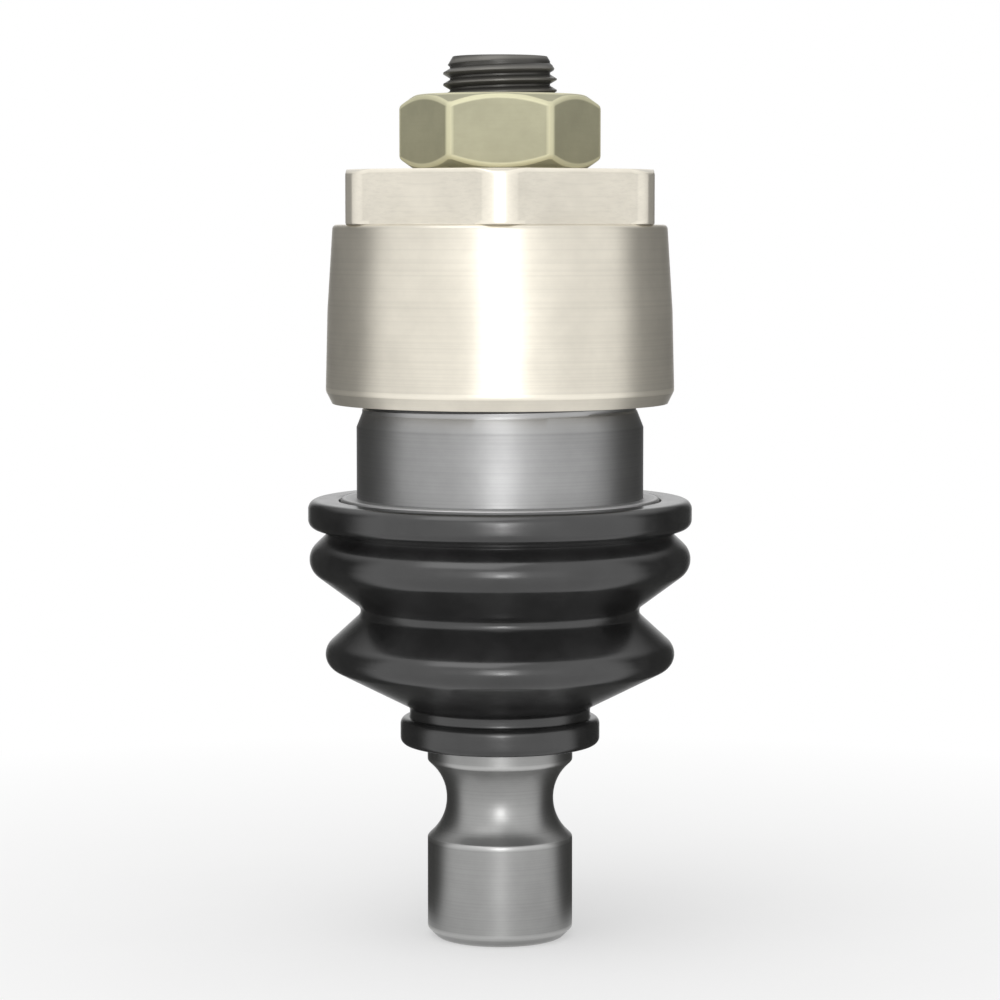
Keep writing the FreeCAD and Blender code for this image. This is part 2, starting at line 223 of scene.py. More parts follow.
def section_links(node, angle):
    """Points where a half plane at that angle cuts a CAD node, each with the points joined to it."""
    mesh = frame["nodes"][node].data
    mesh.calc_loop_triangles()
    points = [tuple(vertex.co) for vertex in mesh.vertices]
    links = {}
    for triangle in mesh.loop_triangles:
        corners = [points[index] for index in triangle.vertices]
        edges = [sorted(pair) for pair in zip(corners, corners[1:] + corners[:1])]
        spots = [crossing(low, high, angle + SECTION_TURN) for low, high in edges]
        ends = sorted(spot for spot in spots if spot)
        if len(ends) != 2 or ends[1][0] <= 0:
            continue
        (near, near_z), (far, far_z) = ends
        if near < 0:
            near_z += (far_z - near_z) * near / (near - far)
            near = 0.0
        near_end = (round(near, PLACES), round(near_z, PLACES))
        far_end = (round(far, PLACES), round(far_z, PLACES))
        if near_end != far_end:
            links.setdefault(near_end, []).append(far_end)
            links.setdefault(far_end, []).append(near_end)
    return links


def chained(links):
    """The linked points in order, from their lowest end or lowest point, and whether they are open."""
    ends = [point for point, near in links.items() if len(near) == 1]
    here = min(ends or links, key=lambda point: point[1])
    chain = [here]
    seen = {here}
    while True:
        onward = [point for point in links[here] if point not in seen]
        if not onward:
            return chain, bool(ends)
        here = onward[0]
        seen.add(here)
        chain.append(here)


def thinned(chain, is_open):
    """A chain without the points that lie on another one or on a straight stretch."""
    apart = chain[:1]
    for point in chain[1:]:
        if math.dist(point, apart[-1]) > SAME_POINT:
            apart.append(point)
    if not is_open and math.dist(apart[0], apart[-1]) < SAME_POINT:
        apart.pop()
    kept = []
    for place, here in enumerate(apart):
        turn = turn_at(apart[place - 1], here, apart[(place + 1) % len(apart)])
        if abs(turn) > STRAIGHT or is_open and place in (0, len(apart) - 1):
            kept.append(here)
    return kept


def outline_of(node, angle=0.0):
    """A CAD node's outline in the half plane at that angle from +X, in order, its outer side rising."""
    chain, is_open = chained(section_links(node, angle))
    area = sum(a[0] * b[1] - b[0] * a[1] for a, b in zip(chain, chain[1:] + chain[:1]))
    if area < 0:
        chain.reverse()
    return thinned(chain, is_open)


def opened(loop, height):
    """A closed outline opened at its level face at a height, from the face's outer end to its inner."""
    for place, point in enumerate(loop):
        after = loop[(place + 1) % len(loop)]
        if abs(point[1] - height) < LEVEL and abs(after[1] - height) < LEVEL:
            chain = loop[place + 1:] + loop[:place + 1]
            return chain if chain[0][0] > chain[-1][0] else chain[::-1]
    raise RuntimeError(f"the outline has no level face at {height}")


def cut_level(loop, height, above):
    """The part of a closed outline above or below that height, closed by a level face."""
    side = 1 if above else -1
    kept = []
    for before, here in zip(loop[-1:] + loop[:-1], loop):
        before_in = (before[1] - height) * side >= 0
        here_in = (here[1] - height) * side >= 0
        if before_in != here_in:
            share = (height - before[1]) / (here[1] - before[1])
            kept.append((before[0] + (here[0] - before[0]) * share, height))
        if here_in:
            kept.append(here)
    return kept


def radius_at(edge, height):
    """Radius at a height on an edge whose points rise."""
    radii, heights = zip(*edge)
    return float(np.interp(height, heights, radii))


def height_at(edge, radius):
    """Height at a radius on an edge whose points run outward."""
    radii, heights = zip(*edge)
    return float(np.interp(radius, radii, heights))


# Broken edges, as (radius, height, wear and painted light) points

# How worn a point is and how much painted light it has: thread crests and broken edges take the top value,
# lighter for wear and a painted highlight, and thread roots as far the other way, darker for painted shade.
WORN_AND_HIGHLIT = 1.0
PLAIN = 0.0

# A corner that turns by less than this belongs to an arc and is left as it is. EVERY_CORNER leaves none,
# so that the outlines round a hexagon all have as many points.
CORNER = math.radians(22)
EVERY_CORNER = -1.0

# Most of an edge that a round's guard and the round itself take up from one end
GUARD_SHARE = 0.46
ROUND_SHARE = 0.3

# Where a quarter circle's middle lies, from its corner toward each end
ARC_MIDDLE = 1 - math.sqrt(0.5)


def toward(here, there, reach, most):
    """The point that lies at a reach from one point to another, or at the most of the way."""
    length = math.dist(here, there)
    share = min(reach / length, most) if length > WELD else 0.0
    return here[0] + (there[0] - here[0]) * share, here[1] + (there[1] - here[1]) * share


def eased(chain, edge, guard, closed=False, corner=CORNER):
    """A chain of (radius, height) points with its corners broken, as points with wear and painted light
    added.

    Each corner becomes a small round between two guard points, which is lighter where it stands out, for
    wear and a painted highlight.
    """
    made = []
    for place, here in enumerate(chain):
        before = chain[place - 1]
        after = chain[(place + 1) % len(chain)]
        turn = turn_at(before, here, after)
        if abs(turn) < corner or not closed and place in (0, len(chain) - 1):
            made.append((*here, PLAIN))
            continue
        # A corner that stands out is lighter, for wear and a painted highlight.
        wear_and_painted_light = WORN_AND_HIGHLIT if turn > CORNER else PLAIN
        first = toward(here, before, edge, ROUND_SHARE)
        last = toward(here, after, edge, ROUND_SHARE)
        middle = [at + (a + b - 2 * at) * ARC_MIDDLE for at, a, b in zip(here, first, last)]
        made.append((*toward(here, before, guard, GUARD_SHARE), PLAIN))
        made += [(*first, wear_and_painted_light), (*middle, wear_and_painted_light), (*last, wear_and_painted_light)]
        made.append((*toward(here, after, guard, GUARD_SHARE), PLAIN))
    return made


def divided(chain, step):
    """A closed chain of (radius, height, wear) points with its long stretches divided."""
    made = []
    for here, after in zip(chain, chain[1:] + chain[:1]):
        count = max(1, math.ceil(math.dist(here[:2], after[:2]) / step))
        for part in range(count):
            made.append(tuple(a + (b - a) * part / count for a, b in zip(here, after)))
    return made


def worn_and_highlit_between(points, low, high, over, wear_and_painted_light):
    """Points with a column's wear and painted highlight given to those between two heights outside a
    radius.
    """
    return [(r, z, max(w, wear_and_painted_light) if low < z < high and r > over else w) for r, z, w in points]


# Threads

# A threaded zone is the two ends of an upright edge and the end of the chamfer after it.
ZONE_POINTS = 3


def smoothed(share):
    """A share from 0 to 1 that starts and ends gently."""
    return share * share * (3 - 2 * share)


def under_crest(thread, angle, height):
    """How deep the thread's surface lies there, from 0 on the crest to 1 in the root."""
    phase = (height / thread.pitch - angle / FULL_TURN) % 1.0
    from_crest = abs(2 * phase - 1)
    flanks = 1 - thread.root - thread.crest
    return min(1.0, max(0.0, (from_crest - thread.crest) / flanks))


def thread_heights(thread, angle, low, high):
    """Heights of the rings that follow the thread's helix at an angle, held between two heights."""
    root = thread.root / 2
    crest_start = (1 - thread.crest) / 2
    flank = (root + crest_start) / 2
    up_to_crest = (0.0, root, flank, crest_start)
    phases = (*up_to_crest, 0.5, 1 - crest_start, 1 - flank, 1 - root)
    heights = [low]
    for turn in range(math.floor(low / thread.pitch) - 1, math.ceil(high / thread.pitch) + 1):
        for phase in phases:
            height = (turn + phase + angle / FULL_TURN) * thread.pitch
            heights.append(min(high, max(low, height)))
    return heights + [high]


def thread_place(outline, rising, over=0.0):
    """Where the thread's edge starts: the longest upright one that rises, or falls, outside a radius."""
    best = 0.0
    place = None
    for index, (here, after) in enumerate(zip(outline, outline[1:] + outline[:1])):
        length = (after[1] - here[1]) * (1 if rising else -1)
        if abs(after[0] - here[0]) < LEVEL and here[0] > over and length > best:
            best = length
            place = index
    if place is None:
        raise RuntimeError("the outline has no upright edge to thread")
    return place


def thread_first(outline, rising, over=0.0):
    """A closed outline's threaded zone, and the rest of it from there round."""
    place = thread_place(outline, rising, over)
    rolled = outline[place:] + outline[:place]
    return rolled[:ZONE_POINTS], rolled[ZONE_POINTS:]


def outside_thread(thread, zone, angle, run_out=0.0):
    """Points of an outside thread up a zone, dying away over the run-out at its foot."""
    crest_radius, low = zone[0]
    made = []
    for height in thread_heights(thread, angle, low, zone[-1][1]):
        share = under_crest(thread, angle, height)
        if run_out:
            share *= smoothed(min(1.0, (height - low) / run_out))
        radius = min(radius_at(zone, height), crest_radius - share * thread.depth)
        # Crests are lighter, for wear and a painted highlight; roots are darker, for painted shade.
        made.append((radius, height, WORN_AND_HIGHLIT - 2 * WORN_AND_HIGHLIT * share))
    return made


def inside_thread(thread, zone, angle):
    """Points of an inside thread down a zone, clear of the outside one by the frame's own clearance."""
    root_radius, high = zone[0]
    made = []
    for height in thread_heights(thread, angle, zone[-1][1], high)[::-1]:
        share = under_crest(thread, angle, height)
        radius = max(radius_at(zone[::-1], height), root_radius - share * thread.depth)
        # Crests are lighter, for wear and a painted highlight; roots are darker, for painted shade.
        made.append((radius, height, 2 * WORN_AND_HIGHLIT * share - WORN_AND_HIGHLIT))
    return made


# Columns, as (angle, wear and painted highlight)

# Where a corner's land columns stand, lighter for wear and a painted highlight, and where the face's first
# one does, in half lands
LAND_COLUMNS = (-1, -0.4, 0.4, 1)
LAND_GUARD = 2.5

# A face of a hexagon has this part of a turned piece's columns.
FACE_PART = 8

# The screw's columns are a multiple of this, so that they stand at its socket's corners and middles.
SOCKET_STEP = 12


def round_columns(count):
    """A full turn with no columns made lighter for wear and a painted highlight."""
    return [(FULL_TURN * place / count, PLAIN) for place in range(count + 1)]


def hexagon_columns(first_corner, land_turn, count):
    """A full turn about a hexagon, lighter at each corner's land for wear and painted highlight, not
    between.
    """
    columns = []
    guard_turn = LAND_GUARD * land_turn
    face_turn = SIXTH - 2 * guard_turn
    for side in range(6):
        corner = first_corner + SIXTH * side
        for share in LAND_COLUMNS:
            columns.append((corner + land_turn * share, WORN_AND_HIGHLIT))
        for place in range(count + 1):
            columns.append((corner + guard_turn + face_turn * place / count, PLAIN))
    columns.append((first_corner + FULL_TURN - land_turn, WORN_AND_HIGHLIT))
    return columns


def hexagon_radius(flats_radius, first_corner, angle):
    """Radius of a hexagon's side at an angle."""
    return flats_radius / math.cos((angle - first_corner) % SIXTH - SIXTH / 2)


def land_turn_of(flats_radius, corner_radius):
    """Half the angle that a turned-down corner takes up on a hexagon."""
    return SIXTH / 2 - math.acos(flats_radius / corner_radius)


# Meshes

# Faces that meet at more than this have an edge between them. The boot's rounds are finer than the metal's.
SHARP = math.radians(48)
RUBBER_SHARP = math.radians(35)


def weld(mesh):
    """Joins a mesh's points where they lie on one another and turns its faces outward."""
    shape = bmesh.new()
    shape.from_mesh(mesh)
    bmesh.ops.remove_doubles(shape, verts=shape.verts, dist=WELD)
    bmesh.ops.recalc_face_normals(shape, faces=shape.faces)
    shape.to_mesh(mesh)
    shape.free()


def skin(name, columns, outline_at, closed, sharp=SHARP):
    """A mesh object over the outlines at a full turn of columns.

    outline_at gives the (radius, height, wear and painted light) points of a column. Closed outlines end
    where they start, and the others end on the axis.
    """
    points = []
    wear_and_painted_light = []
    for angle, column_wear_and_highlight in columns:
        outline = outline_at(angle, column_wear_and_highlight)
        for radius, height, point_wear_and_painted_light in outline:
            points.append((radius * math.cos(angle), radius * math.sin(angle), height))
            wear_and_painted_light.append(point_wear_and_painted_light)
    count = len(outline)
    faces = []
    for column in range(len(columns) - 1):
        for place in range(count if closed else count - 1):
            here = column * count + place
            above = column * count + (place + 1) % count
            faces.append((here, here + count, above + count, above))
    mesh = bpy.data.meshes.new(name)
    mesh.from_pydata(points, [], faces)
    # Each point keeps its wear and painted light: lighter for wear and a painted highlight, darker for
    # painted shade.
    mesh.attributes.new("wear_and_painted_light", "FLOAT", "POINT").data.foreach_set("value", wear_and_painted_light)
    weld(mesh)
    mesh.polygons.foreach_set("use_smooth", [True] * len(mesh.polygons))
    mesh.set_sharp_from_angle(angle=sharp)
    made = bpy.data.objects.new(name, mesh)
    bpy.context.scene.collection.objects.link(made)
    return made


def turned(name, outline, count, closed, sharp=SHARP):
    """A mesh object with one outline all round."""
    return skin(name, round_columns(count), lambda angle, wear_and_painted_light: outline, closed, sharp)


def dress(piece, body, nodes, material):
    """Puts a finished piece on its body in place of its CAD nodes."""
    piece.data.materials.append(material)
    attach(piece, body)
    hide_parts(*nodes)


# Shader nodes

WHITE = (1.0, 1.0, 1.0, 1.0)

# A noise lies mostly between these two values.
NOISE_SPAN = (0.3, 0.7)


def fill(tree, node, inputs):
    """Sets or links a shader node's inputs."""
    for key, value in inputs.items():
        if isinstance(value, bpy.types.NodeSocket):
            tree.links.new(value, node.inputs[key])
        else:
            node.inputs[key].default_value = value


def add(tree, kind, inputs=None, **values):
    """A new shader node with its values set, and its inputs set or linked."""
    made = tree.nodes.new(kind)
    for name, value in values.items():
        setattr(made, name, value)
    fill(tree, made, inputs or {})
    return made


def maths(tree, operation, first, second):
    """The socket of a sum, a product or the greater of two values, held between 0 and 1."""
    inputs = {0: first, 1: second}
    return add(tree, "ShaderNodeMath", inputs, operation=operation, use_clamp=True).outputs[0]


def noise(tree, place, scale, detail, roughness):
    """The socket of a noise from 0 to 1, with that many waves to the metre."""
    inputs = {"Vector": place, "Scale": scale, "Detail": detail, "Roughness": roughness}
    return add(tree, "ShaderNodeTexNoise", inputs).outputs["Fac"]


def ranged(tree, value, made, given=(0.0, 1.0)):
    """The socket of a value taken from the given range to the made one and held in it."""
    inputs = {
        "Value": value, "From Min": given[0], "From Max": given[1], "To Min": made[0], "To Max": made[1]}
    return add(tree, "ShaderNodeMapRange", inputs).outputs["Result"]


def blended(tree, share, first, second):
    """The socket of a colour mixed from two by a share."""
    return add(tree, "ShaderNodeMix", {0: share, 6: first, 7: second}, data_type="RGBA").outputs[2]


def tinted(colour, share):
    """A colour made lighter or darker by a factor, with its alpha."""
    return (*[min(1.0, channel * share) for channel in colour], 1.0)


def shaded(tree, share, colour, shades):
    """The socket of a colour between two shades of it."""
    return blended(tree, share, tinted(colour, shades[0]), tinted(colour, shades[1]))


def bumped(tree, pattern, strength, depth):
    """The socket of normals bent as by a pattern of that depth."""
    inputs = {"Height": pattern, "Strength": strength, "Distance": depth}
    return add(tree, "ShaderNodeBump", inputs).outputs["Normal"]


def attribute(tree, name):
    """The socket of a mesh's own values of that name."""
    return add(tree, "ShaderNodeAttribute", attribute_name=name).outputs["Fac"]


def mixed(tree, share, first, second):
    """The socket of two shaders mixed by a share."""
    return add(tree, "ShaderNodeMixShader", {0: share, 1: first, 2: second}).outputs[0]


def in_sight(tree):
    """The socket that is 1 for what is seen straight, mirrored or through glass, and 0 for what lights."""
    path = add(tree, "ShaderNodeLightPath").outputs
    straight = maths(tree, "MAXIMUM", path["Is Camera Ray"], path["Is Glossy Ray"])
    return maths(tree, "MAXIMUM", straight, path["Is Transmission Ray"])


def new_surface(name):
    """A new material, its node tree, its surface shader and the socket of the piece's own coordinates."""
    material = bpy.data.materials.new(name)
    material.use_nodes = True
    tree = material.node_tree
    surface = tree.nodes["Principled BSDF"]
    place = add(tree, "ShaderNodeTexCoord").outputs["Object"]
    return material, tree, surface, place


# Finishes

# Shades of a metal, of its darker rings and of its thread roots, which is painted shade, as multiples of
# its colour
METAL_SHADES = (0.9, 1.06)
RING_SHADE = 0.72
PAINTED_ROOT_SHADE = 0.3

# The most that the darker rings cover, and the values of their noise over which they come up
RING_COVER = 0.35
RING_SPAN = (0.45, 0.75)

# Values from the thread's root, where the painted shade is darkest, to where it ends
ROOT_SPAN = (-WORN_AND_HIGHLIT, 0.2 * WORN_AND_HIGHLIT)

# How far the specks change the roughness, as multiples of it, and how far the rings do, added to it
SPECK_ROUGHNESS = (0.97, 1.03)
RING_ROUGHNESS = (-0.02, 0.03)

# Highlights stretch across the tool's rings, this part of a turn from the tangent round the axis.
STRETCH_TURN = 0.25

# The rubber's shades as multiples of its colour, and the values of its noise over which the bloom shows
RUBBER_SHADES = (0.3, 0.75)
BLOOM_SPAN = (0.35, 0.75)
RUBBER_ROUGHNESS = (0.2, 0.26)
RUBBER_GLOSS = 0.9


def axis_rings(tree, place, scale):
    """The socket of a noise in rings about the axis, as a turning tool leaves them."""
    across = {0: place, 1: (1.0, 1.0, 0.0)}
    flat = add(tree, "ShaderNodeVectorMath", across, operation="MULTIPLY").outputs[0]
    radius = add(tree, "ShaderNodeVectorMath", {0: flat}, operation="LENGTH").outputs["Value"]
    height = add(tree, "ShaderNodeSeparateXYZ", {0: place}).outputs["Z"]
    ring_place = add(tree, "ShaderNodeCombineXYZ", {0: radius, 1: height}).outputs[0]
    return noise(tree, ring_place, scale, detail=3.0, roughness=0.65)


def wear_and_painted_light_colour(tree, base, colour, edge_wear_and_highlight, edge_cover, painted_root_shade_cover):
    """A colour socket, lighter on edges for wear and painted highlight, darker in roots for painted shade.
    """
    wear_and_painted_light = attribute(tree, "wear_and_painted_light")
    # Edges and crests: wear and a painted highlight. Thread roots: painted shade.
    edges = ranged(tree, wear_and_painted_light, (0.0, edge_cover), (PLAIN, WORN_AND_HIGHLIT))
    painted_root_shade = ranged(tree, wear_and_painted_light, (painted_root_shade_cover, 0.0), ROOT_SPAN)
    worn_and_highlit = blended(tree, edges, base, tinted(colour, edge_wear_and_highlight))
    return blended(tree, painted_root_shade, worn_and_highlit, tinted(colour, PAINTED_ROOT_SHADE))


def machined(
        name, colour, roughness, ring_scale, ring_depth, edge_wear_and_highlight, edge_cover, metallic=1.0, brushed=0.2,
        shades=METAL_SHADES, painted_root_shade_cover=0.85):
    """A metal with cloudy shades, fine specks, the tool's rings, light edges and dark thread roots.

    Shades are multiples of its colour. Light edges are wear and a painted highlight, and dark roots are
    painted shade. Covers are the most that the shades of the edges and the roots hide of it.
    """
    material, tree, surface, place = new_surface(name)
    rings = axis_rings(tree, place, ring_scale)
    clouds = noise(tree, place, scale=140.0, detail=4.0, roughness=0.6)
    specks = noise(tree, place, scale=5200.0, detail=2.0, roughness=0.5)
    body = shaded(tree, ranged(tree, clouds, (0.0, 1.0), NOISE_SPAN), colour, shades)
    ring_cover = ranged(tree, rings, (0.0, RING_COVER), RING_SPAN)
    ringed = blended(tree, ring_cover, body, tinted(colour, RING_SHADE))
    grain = ranged(tree, specks, [roughness * share for share in SPECK_ROUGHNESS], NOISE_SPAN)
    fill(tree, surface, {
        "Base Color": wear_and_painted_light_colour(tree, ringed, colour, edge_wear_and_highlight, edge_cover, painted_root_shade_cover),
        "Roughness": maths(tree, "ADD", grain, ranged(tree, rings, RING_ROUGHNESS, NOISE_SPAN)),
        "Metallic": metallic,
        "Anisotropic": brushed,
        "Anisotropic Rotation": STRETCH_TURN,
        "Tangent": add(tree, "ShaderNodeTangent", direction_type="RADIAL", axis="Z").outputs[0],
        "Normal": bumped(tree, rings, strength=0.5, depth=ring_depth),
    })
    return material


def moulded_rubber(name, colour):
    """Black rubber with a soft gloss, a fine moulded grain and a faint bloom."""
    material, tree, surface, place = new_surface(name)
    clouds = noise(tree, place, scale=170.0, detail=5.0, roughness=0.65)
    grain = noise(tree, place, scale=3200.0, detail=3.0, roughness=0.6)
    bloom = ranged(tree, clouds, (0.0, 1.0), BLOOM_SPAN)
    fill(tree, surface, {
        "Base Color": shaded(tree, bloom, colour, RUBBER_SHADES),
        "Roughness": ranged(tree, clouds, RUBBER_ROUGHNESS, NOISE_SPAN),
        "Specular IOR Level": RUBBER_GLOSS,
        "Normal": bumped(tree, grain, strength=0.3, depth=0.00001),
    })
    return material


# Pieces

class BallJointOperator:
    """What the joint's operators share."""

    bl_options = {"REGISTER", "UNDO"}


class BALLJOINT_OT_add_stud(BallJointOperator, bpy.types.Operator):
    """Add the ball stud: ball, neck, collar and grooved shank"""

    bl_idname = "balljoint.add_stud"
    bl_label = "Add Ball Stud"

    def execute(self, context):
        _, surface, finish, _ = settings()
        outline = eased(outline_of("stud"), surface.edge, surface.edge_guard)
        piece = turned("ball_stud", outline, surface.columns, closed=False)
        # Its broken edges are lighter for wear and a painted highlight.
        material = machined(
            "Turned and polished steel", finish.forged_steel, roughness=0.36, ring_scale=4200.0,
            ring_depth=0.000008, edge_wear_and_highlight=1.35, edge_cover=0.7)
        dress(piece, "stud", ["stud"], material)
        return {"FINISHED"}


class BALLJOINT_OT_add_housing(BallJointOperator, bpy.types.Operator):
    """Add the housing with its seat, flange, lip and outside thread"""

    bl_idname = "balljoint.add_housing"
    bl_label = "Add Housing"

    def execute(self, context):
        thread, surface, finish, _ = settings()
        zone, side = thread_first(outline_of("housing"), rising=True)
        rest = eased([zone[-1], *side, zone[0]], surface.edge, surface.edge_guard)[1:-1]

        def outline_at(angle, wear_and_painted_light):
            return outside_thread(thread, zone, angle, thread.run_out) + rest

        piece = skin("housing_body", round_columns(surface.columns), outline_at, closed=True)
        # Its edges and crests are lighter for wear and a painted highlight, and its thread roots carry
        # painted shade.
        material = machined(
            "Turned steel", finish.turned_steel, roughness=0.42, ring_scale=3600.0, ring_depth=0.000012,
            edge_wear_and_highlight=1.4, edge_cover=0.55)
        dress(piece, "housing", ["housing"], material)
        return {"FINISHED"}


class BALLJOINT_OT_add_race(BallJointOperator, bpy.types.Operator):
    """Finish the race, whose CAD shape is shown as it is"""

    bl_idname = "balljoint.add_race"
    bl_label = "Finish Race"

    def execute(self, context):
        _, _, finish, _ = settings()
        race = frame["nodes"]["race"]
        material = machined(
            "Ground steel", finish.ground_steel, roughness=0.32, ring_scale=5200.0, ring_depth=0.000012,
            edge_wear_and_highlight=1.2, edge_cover=0.0, brushed=0.3)
        race.data.materials.clear()
        race.data.materials.append(material)
        return {"FINISHED"}


# The cap's tapped hole and the nut's bore lie within these shares of the radius of their flats.
CAP_HOLE_SHARE = 1 / 2
NUT_HOLE_SHARE = 5 / 6


class BALLJOINT_OT_add_cap(BallJointOperator, bpy.types.Operator):
    """Add the cap: tapering skirt with an inside thread, and a hexagon with a corner to the front"""

    bl_idname = "balljoint.add_cap"
    bl_label = "Add Cap"

    def execute(self, context):
        thread, surface, finish, _ = settings()
        at_corner = outline_of("cap", FRONT)
        at_flat = outline_of("cap", FRONT + SIXTH / 2)
        zone, side = thread_first(at_corner, rising=False, over=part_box("race")[1].x)
        top = max(height for _, height in at_corner)
        flats_radius = max(radius for radius, height in at_flat if height > top - LEVEL)
        base = min(height for radius, height in at_flat if abs(radius - flats_radius) < SAME_POINT)
        corner_radius = max(radius for radius, height in at_corner if height > base + LEVEL)
        hole_radius = flats_radius * CAP_HOLE_SHARE
        crown = sorted(point for point in at_corner if point[1] > base + LEVEL and point[0] > hole_radius)

        def trimmed(radius, height, limit):
            """A point of the corner's outline, moved in where the hexagon's side lies further in."""
            if height > top - LEVEL and radius > hole_radius:
                return min(radius, limit - 2 * surface.edge), height
            if height > base + LEVEL and radius > limit:
                return limit, height_at(crown, limit)
            if abs(height - base) < LEVEL and abs(radius - corner_radius) < SAME_POINT:
                return min(radius, limit), height
            return radius, height

        def outline_at(angle, wear_and_painted_light):
            limit = hexagon_radius(flats_radius, FRONT, angle)
            chain = [zone[-1], *(trimmed(radius, height, limit) for radius, height in side), zone[0]]
            points = eased(chain, surface.edge, surface.edge_guard, corner=EVERY_CORNER)[1:-1]
            worn_and_highlit = worn_and_highlit_between(points, base, height_at(crown, limit), hole_radius, wear_and_painted_light)
            return inside_thread(thread, zone, angle) + worn_and_highlit

        land_turn = land_turn_of(flats_radius, corner_radius)
        columns = hexagon_columns(FRONT, land_turn, surface.columns // FACE_PART)
        piece = skin("cap_shell", columns, outline_at, closed=True)
        # Its edges, crests and corner lands are lighter for wear and a painted highlight; its thread roots
        # carry painted shade.
        material = machined(
            "Bright plate", finish.bright_plate, roughness=0.33, ring_scale=2600.0, ring_depth=0.000005,
            edge_wear_and_highlight=1.15, edge_cover=0.5, metallic=0.74)
        dress(piece, "cap", ["cap"], material)
        return {"FINISHED"}


class BALLJOINT_OT_add_adjuster(BallJointOperator, bpy.types.Operator):
    """Add the adjusting screw: thread all along, rounded nose and hexagon socket"""

    bl_idname = "balljoint.add_adjuster"
    bl_label = "Add Adjusting Screw"

    def execute(self, context):
        thread, surface, finish, _ = settings()
        outline = outline_of("adjuster_screw")
        place = thread_place(outline, rising=True)
        nose = eased(outline[:place + 1], surface.edge, surface.edge_guard)[:-1]
        zone = outline[place:place + ZONE_POINTS]
        socket = outline[place + ZONE_POINTS:]
        end_radius, end_height = zone[-1]
        if not 0 < socket[0][0] < end_radius or abs(socket[0][1] - end_height) > LEVEL:
            raise RuntimeError("the adjusting screw's socket wasn't found at its end")

        def outline_at(angle, wear_and_painted_light):
            share = hexagon_radius(1.0, 0.0, angle) * math.cos(SIXTH / 2)
            chain = [zone[-1], *((radius * share, height) for radius, height in socket)]
            end = eased(chain, surface.edge, surface.edge_guard, corner=EVERY_CORNER)[1:]
            return nose + outside_thread(thread, zone, angle) + end

        columns = round_columns(surface.columns // SOCKET_STEP * SOCKET_STEP)
        piece = skin("adjuster_thread", columns, outline_at, closed=False)
        # Its crests and edges are much lighter for wear and a painted highlight; its roots carry a little
        # painted shade.
        material = machined(
            "Black oxide", finish.black_oxide, roughness=0.36, ring_scale=3000.0, ring_depth=0.00002,
            edge_wear_and_highlight=3.5, edge_cover=0.6, metallic=0.35, brushed=0.0, shades=(1.3, 1.6), painted_root_shade_cover=0.3)
        dress(piece, "adjuster", ["adjuster_screw"], material)
        return {"FINISHED"}


class BALLJOINT_OT_add_jam_nut(BallJointOperator, bpy.types.Operator):
    """Add the jam nut, chamfered at both faces"""

    bl_idname = "balljoint.add_jam_nut"
    bl_label = "Add Jam Nut"

    def execute(self, context):
        _, surface, finish, _ = settings()
        at_corner = outline_of("jam_nut")
        low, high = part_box("jam_nut")
        middle = (low.z + high.z) / 2
        flats_radius = high.y
        corner_radius = surface.nut_land * max(radius for radius, _ in at_corner)
        hole_radius = flats_radius * NUT_HOLE_SHARE
        outer = sorted(point for point in at_corner if point[0] > hole_radius)
        lower = [point for point in outer if point[1] <= middle]
        upper = [point for point in outer if point[1] > middle]

        def outline_at(angle, wear_and_painted_light):
            limit = min(corner_radius, hexagon_radius(flats_radius, 0.0, angle))
            foot = height_at(lower, limit)
            head = height_at(upper, limit)
            chain = []
            for radius, height in at_corner:
                beyond = (limit, head if height > middle else foot)
                chain.append(beyond if radius > limit else (radius, height))
            points = eased(chain, 2 * surface.edge, surface.edge_guard, closed=True, corner=EVERY_CORNER)
            return worn_and_highlit_between(points, foot, head, hole_radius, wear_and_painted_light)

        land_turn = land_turn_of(flats_radius, corner_radius)
        columns = hexagon_columns(0.0, land_turn, surface.columns // FACE_PART)
        piece = skin("jam_nut_hexagon", columns, outline_at, closed=True)
        # Its edges and corner lands are paler for wear and a painted highlight.
        material = machined(
            "Pale yellow zinc", finish.yellow_zinc, roughness=0.48, ring_scale=2200.0, ring_depth=0.000008,
            edge_wear_and_highlight=1.35, edge_cover=0.9, metallic=0.3, brushed=0.0, shades=(0.68, 0.86))
        dress(piece, "jam_nut", ["jam_nut"], material)
        return {"FINISHED"}


def boot_outline():
    """The boot's outline, joined from its three nodes, and the outer side of its folds going down."""
    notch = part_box("boot_upper_lip")[0].z
    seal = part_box("boot_lower_lip")[1].z
    upper = opened(outline_of("boot_upper_lip"), notch)
    folds = opened(outline_of("boot_bellows"), notch)
    lower = opened(outline_of("boot_lower_lip"), seal)
    seam = next(place for place, point in enumerate(folds) if abs(point[1] - seal) < LEVEL) + 1
    outside = folds[:seam]
    return outside + lower + folds[seam:-1] + upper[::-1][:-1], outside


def fold_heights(outside):
    """Heights of the upper crest, the waist, the lower crest and the neck, where the longest cone ends."""
    upper_crest, waist, lower_crest = [
        here[1] for before, here, after in zip(outside, outside[1:], outside[2:])
        if (here[0] - before[0]) * (after[0] - here[0]) < 0]
    cone = max(zip(outside, outside[1:]), key=lambda edge: math.dist(*edge))
    return upper_crest, waist, lower_crest, cone[1][1]


